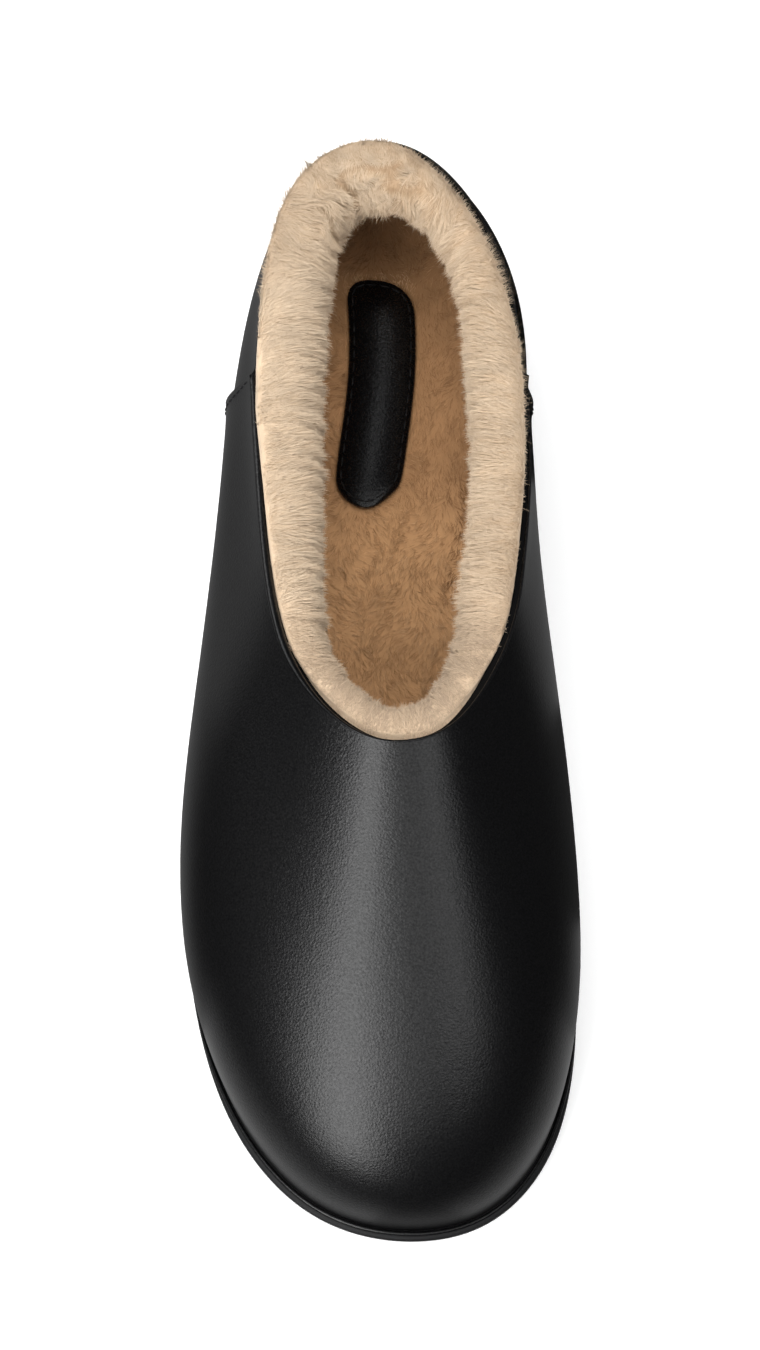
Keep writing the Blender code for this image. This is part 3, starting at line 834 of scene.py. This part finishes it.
point, normal, draw = surface_points(wool_body, collar_count, wool_side, seed=21)
count = len(point)
out = outward_from_foot(point)
outside = turned_out(point, normal)[:, None]
outer_edge, inner_edge = np.clip(outside, 0, 1), np.clip(-outside, 0, 1)
flow = unit(-out * normal[:, 2:] + np.array([0, 0, 1.0]) * outside)
side = np.cross(normal, flow)
lock = np.stack([mouth_x + lock_reach * out[:, 0],
                 np.clip(point[:, 1], mouth_front, mouth_back) + lock_reach * out[:, 1],
                 lock_height * point[:, 2]], axis=1)
front = np.clip((front_from - point[:, 1:2]) / front_fade, 0, 1)

# The wool parts along lines in the whorl, and falls apart on both sides of them.
whorl = whorl_at(point, outside)
ripple = waves(point, parting_size, parting_seed)
parting = whorl * np.exp(-(ripple / parting_half) ** 2)
slope = [waves(point + step, parting_size, parting_seed) - ripple for step in slope_step * np.eye(3)]
slope = np.concatenate(slope, axis=1)
apart = unit(slope - normal * (slope * normal).sum(axis=1)[:, None]) * np.sign(ripple)

# Each strand turns with its lock and a little on its own, and some at the roll's edge stray over it.
turn = 0.25 * waves(lock, size=0.012, seed=1) + (0.14 + 1.2 * whorl) * waves(point, size=0.006, seed=2)
turn += draw.normal(0, 0.13, (count, 1)) + draw.normal(0, 0.4, (count, 1)) * front
fringe = np.where(point[:, :1] > 0,
                  fringe_share * np.clip((point[:, 1:2] - fringe_start) / fringe_fade, 0, 1),
                  np.where(point[:, 1:2] > back_fringe_start, back_fringe_share, 0.0))
astray = draw.random((count, 1)) < fringe * outer_edge * (normal[:, 2:] > 0.3)
turn = np.where(astray, turn + math.pi, turn)

# It lies flatter and shorter at the roll's outer edge, and is shorter at the front and in the partings.
lift = collar_lift + 6 * waves(lock, size=0.004, seed=3) + 5 * waves(point, size=0.006, seed=7)
lift = lift + 8 * inner_edge + 8 * whorl
lift = np.radians(lift) * (1 - 0.6 * outer_edge) + draw.normal(0, 0.10, (count, 1))
length = collar_length * (1 + 0.26 * np.clip(waves(lock, size=0.003, seed=4), -1, 1))
length *= draw.uniform(0.6, 1.25, (count, 1))
uneven = 1 + 0.35 * whorl * waves(point, size=0.005, seed=9)
length *= np.where(astray, 0.33, 1 - 0.35 * outer_edge) * uneven
length *= (1 - 0.6 * parting) * (1 - 0.4 * front) * (1 - 0.2 * inner_edge)
lay = flow * np.cos(turn) + side * np.sin(turn)
lay = unit(lay + 1.6 * whorl * np.exp(-(ripple / parting_sweep) ** 2) * apart)
root = point - normal * root_sink
tip = root + (lay * np.cos(lift) + normal * np.sin(lift)) * length

# It is painted paler on the outer side as light, and darker below the collar, at the front and in the
# partings as shade.
tone = draw.normal(0, 0.17, count) - shade_gloom * in_shade(point, outside) - front_gloom * front[:, 0]
# Painted light: the outer side is paler.
tone += outer_painted_light * np.clip((mouth_x - point[:, 0]) / painted_light_fade, 0, 1) * (1 - front[:, 0])
tone += 0.09 * waves(lock, size=0.0032, seed=5)[:, 0] + 0.05 * waves(point, size=0.010, seed=8)[:, 0]
# The partings are painted darker, as shade in their depth.
tone -= parting[:, 0]
width = draw.uniform(collar_fine, collar_thick, (count, 1))

# The front wool is a copy with a greyer dark shade, for the painted shade at the front.
shaded_front_wool = pile_finish("shaded_front_wool", ((0.40, 0.298, 0.213), *deep_shades[1:]), sheen=0.1)
beside = (root[:, 1] >= front_end) & (root[:, 1] < back_start)
quarters = {
    "collar_pile_front": root[:, 1] < front_end,
    "collar_pile_outer": beside & (root[:, 0] < mouth_x),
    "collar_pile_inner": beside & (root[:, 0] >= mouth_x),
    "collar_pile_back": root[:, 1] >= back_start,
}
for name, mine in quarters.items():
    pile = pile_mesh(name, root[mine], tip[mine], normal[mine], width[mine], tone[mine], wool_rise)
    pile.data.materials.append(shaded_front_wool if name == "collar_pile_front" else collar_wool)
    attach(pile, "root")


# Collar fuzz: the finest hairs of the same wool, which stand off the roll's outer edge.
# They soften it at the back, most at the outer corner, and feather it over the leather on the inner side.
fuzz_count = 15000
fuzz_short, fuzz_long = 0.0007, 0.0020
fuzz_fine, fuzz_thick = 0.00004, 0.00007
fuzz_back = 0.086
feather_start, feather_fade, feather_share = 0.030, 0.040, 0.6
feather_end, feather_level = 0.100, 0.6
corner_x, corner_y, corner_reach = -0.024, 0.104, 0.012


def soft_edge(middle, normal):
    """Weights for the outer half of the roll, at the back and down the inner side."""
    outward = turned_out(middle, normal)
    inner = feather_share * np.clip((middle[:, 1] - feather_start) / feather_fade, 0, 1)
    inner *= (middle[:, 0] > 0) & (normal[:, 2] > 0.3)
    there = np.where(middle[:, 1] > fuzz_back, 1.0, inner)
    return there * ((outward > 0.2) & (normal[:, 2] > 0.0))


point, normal, draw = surface_points(wool_body, fuzz_count, soft_edge, seed=22)
count = len(point)
feather = (point[:, :1] > 0) & (point[:, 1:2] < feather_end)
way = unit(normal * np.where(feather, (1, 1, feather_level), 1.0) + draw.normal(0, 0.45, (count, 3)))
corner = np.exp(-((point[:, :1] - corner_x) ** 2 + (point[:, 1:2] - corner_y) ** 2) / corner_reach ** 2)
tip = point + way * draw.uniform(fuzz_short, fuzz_long, (count, 1)) * (1 + 0.7 * corner + 0.5 * feather)
width = draw.uniform(fuzz_fine, fuzz_thick, (count, 1))
tone = draw.normal(0.1, 0.15, count)
fuzz = pile_mesh("collar_fuzz", point - normal * root_sink, tip, normal, width, tone, wool_rise)
fuzz.data.materials.append(collar_wool)
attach(fuzz, "root")


# Studio: a plain pale floor and soft lights. Those ahead of the toe draw the streaks down the vamp, the
# large one overhead lights the wool, and small ones over heel, pad and back give the leather its gloss.
# Cards on the floor brighten or darken what the leather mirrors low on its sides.
bpy.ops.mesh.primitive_plane_add(size=12, location=(0, 0, -0.0005))
floor = bpy.context.object
floor.name = "studio_floor"
floor.visible_glossy = False
paper, tree, shader, place = new_finish("pale_paper")
shader.inputs["Base Color"].default_value = (0.93, 0.93, 0.93, 1)
shader.inputs["Roughness"].default_value = 0.9
shader.inputs["Emission Color"].default_value = (1, 1, 1, 1)
shader.inputs["Emission Strength"].default_value = 0.3
floor.data.materials.append(paper)

light_aim = Vector((0, 0, 0.05))
card_rise, dark_card_rise = 0.001, -0.0003


def area_light(name, width, height, power):
    """A rectangular light at the origin, facing down."""
    lamp = bpy.data.lights.new(name, "AREA")
    lamp.shape = "RECTANGLE"
    lamp.size = width
    lamp.size_y = height
    lamp.energy = power
    holder = bpy.data.objects.new(name, lamp)
    scene.collection.objects.link(holder)
    return holder


def soft_light(name, direction, reach, width, height, power, lean=0, mirrored=True, lit=True):
    """A light that faces the shoe, leaning to one side, and seen by gloss, by matt faces or by both."""
    towards = Vector(direction).normalized()
    holder = area_light(name, width, height, power)
    holder.location = light_aim + towards * reach
    tilt = towards.to_track_quat("Z", "Y") @ Quaternion((0, 0, 1), math.radians(lean))
    holder.rotation_euler = tilt.to_euler()
    holder.visible_glossy = mirrored
    holder.visible_diffuse = lit


def floor_card(name, left, right, middle_y, depth, power):
    """A pale card on the floor beside the shoe, which shows only as a reflection low on the leather."""
    holder = area_light(name, right - left, depth, power)
    holder.location = ((left + right) / 2, middle_y, card_rise)
    holder.rotation_euler = (math.pi, 0, 0)
    holder.visible_camera = False


soft_light("tall_light_outer", (-0.45, -0.62, 0.54), reach=1.5, width=0.76, height=1.7, power=26.5, lean=16)
soft_light("middle_light", (-0.02, -0.61, 0.79), reach=1.5, width=0.75, height=0.80, power=2.5)
soft_light("inner_light", (0.46, -0.43, 0.78), reach=1.6, width=0.50, height=0.70, power=3.7)
soft_light("overhead_light", (0.0, 0.26, 0.97), reach=1.7, width=2.0, height=1.2, power=34, mirrored=False)
soft_light("back_light_outer", (-0.80, 0.40, 0.45), reach=1.5, width=0.50, height=1.0, power=6.0, lit=False)
soft_light("back_light_inner", (0.85, 0.45, 0.25), reach=1.5, width=0.40, height=0.9, power=1.2, lit=False)
soft_light("heel_light", (0.03, 0.27, 0.96), reach=1.5, width=0.10, height=0.5, power=0.6)
soft_light("pad_light", (0.0, -0.12, 0.99), reach=1.5, width=0.12, height=0.25, power=0.4, lit=False)
floor_card("toe_card_outer", left=-0.11, right=-0.005, middle_y=-0.125, depth=0.09, power=0.0085)
floor_card("toe_card_inner", left=0.026, right=0.125, middle_y=-0.125, depth=0.09, power=0.0062)
floor_card("side_card_near", left=-0.17, right=-0.09, middle_y=0.065, depth=0.10, power=0.006)
floor_card("side_card_far", left=-0.30, right=-0.17, middle_y=0.115, depth=0.07, power=0.02)

# The dark cards paint a reflection of floor in shade on the leather; the one by the ball glows faintly.
dark_cards = {
    "dark_card_heel": (-0.01, 0.16, 0.062, 0.222, 0.0),
    "dark_card_ball": (0.05, 0.20, -0.050, 0.006, 0.06),
}
for name, (left, right, front_y, back_y, glow) in dark_cards.items():
    bpy.ops.mesh.primitive_plane_add(size=1)
    card = bpy.context.object
    card.name = name
    spots = points_of(card) * (right - left, back_y - front_y, 1)
    spots += ((left + right) / 2, (front_y + back_y) / 2, dark_card_rise)
    card.data.vertices.foreach_set("co", spots.ravel())
    floor_shade_finish, tree, shader, place = new_finish(name + "_paper")
    shader.inputs["Base Color"].default_value = (0, 0, 0, 1)
    shader.inputs["Specular IOR Level"].default_value = 0
    shader.inputs["Emission Color"].default_value = (1, 1, 1, 1)
    shader.inputs["Emission Strength"].default_value = glow
    card.data.materials.append(floor_shade_finish)
    card.visible_camera = False
    card.visible_diffuse = False
    card.visible_shadow = False

world = bpy.data.worlds.new("studio_air")
scene.world = world
world.use_nodes = True
air = world.node_tree
air.nodes["Background"].inputs["Color"].default_value = (1, 1, 1, 1)
skyward = air.nodes.new("ShaderNodeSeparateXYZ")
air.links.new(air.nodes.new("ShaderNodeTexCoord").outputs["Generated"], skyward.inputs["Vector"])
dusk = air.nodes.new("ShaderNodeMapRange")
dusk.interpolation_type = "SMOOTHERSTEP"
dusk.inputs["From Min"].default_value = -1.0
dusk.inputs["From Max"].default_value = -0.40
dusk.inputs["To Min"].default_value = 0.30
dusk.inputs["To Max"].default_value = 0.035
air.links.new(skyward.outputs["Z"], dusk.inputs["Value"])
air.links.new(dusk.outputs["Result"], air.nodes["Background"].inputs["Strength"])
scene.view_settings.view_transform = "Standard"
